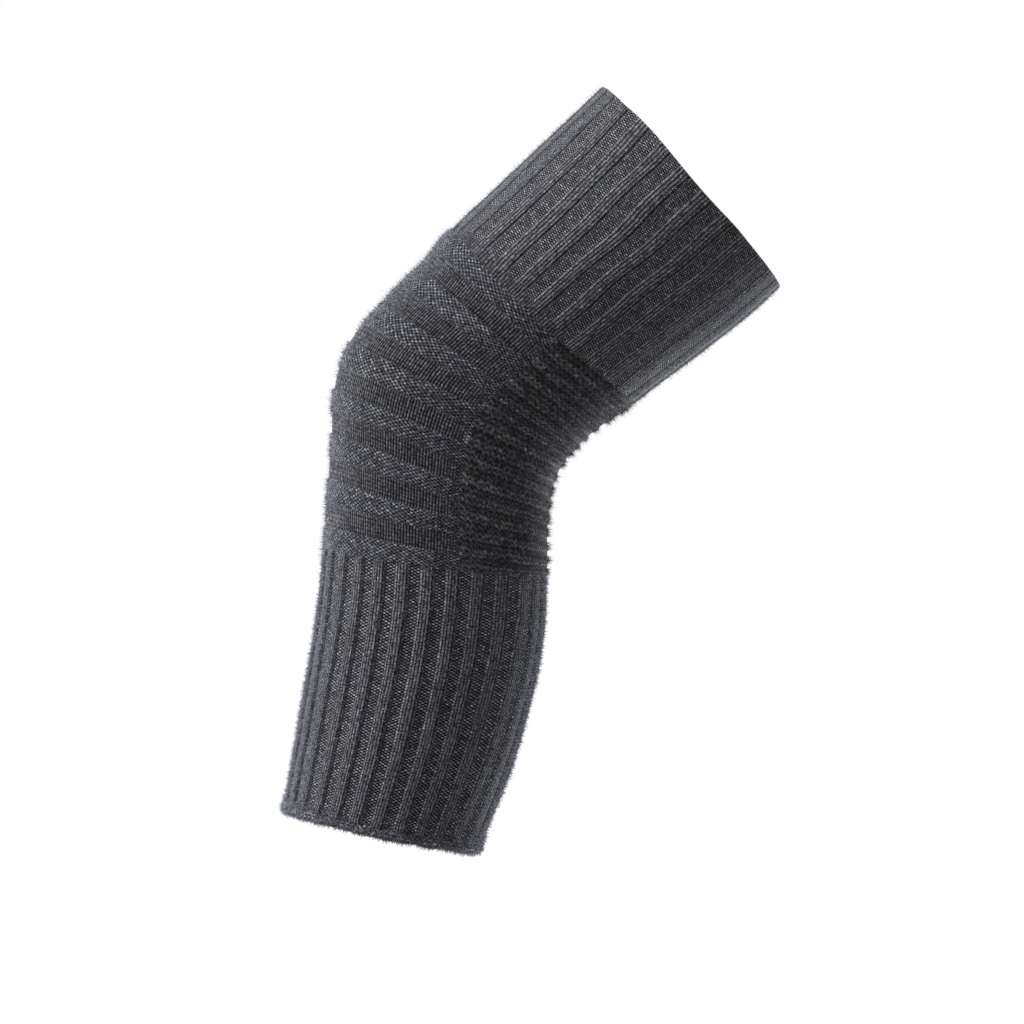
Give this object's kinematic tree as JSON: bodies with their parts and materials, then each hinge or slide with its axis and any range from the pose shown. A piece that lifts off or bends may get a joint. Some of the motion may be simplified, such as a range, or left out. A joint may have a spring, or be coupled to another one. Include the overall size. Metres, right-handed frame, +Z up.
{
  "type": "knee warmer",
  "caption": "Knitted knee warmer in its worn shape on a bent knee: ribbed thigh and calf tubes, a banded knee panel, a welted back panel and a rolled calf edge, open at both ends.",
  "frame": {"origin": "centre of the knee, inside the hollow, where the wearer's knee holds the sleeve", "axes": "+Z up, with the calf below the knee; -X towards the front of the knee; the thigh leaves up and towards +X; the XZ plane is the plane of symmetry"},
  "size_m": [0.2562, 0.132, 0.3934],
  "materials": {
    "rib_knit": "charcoal heather rib knit, four plain and four purl stitches by turns, lightly brushed",
    "knee_knit": "charcoal heather knit, raised purl bands and sunk plain bands, softly brushed",
    "hem_knit": "charcoal heather cast-off edge, rolled and fuzzy"
  },
  "bodies": {
    "root": {"thigh_rib": "rib_knit", "knee_front": "knee_knit", "knee_back": "knee_knit", "calf_rib": "rib_knit", "calf_hem": "hem_knit"}
  },
  "joints": []
}
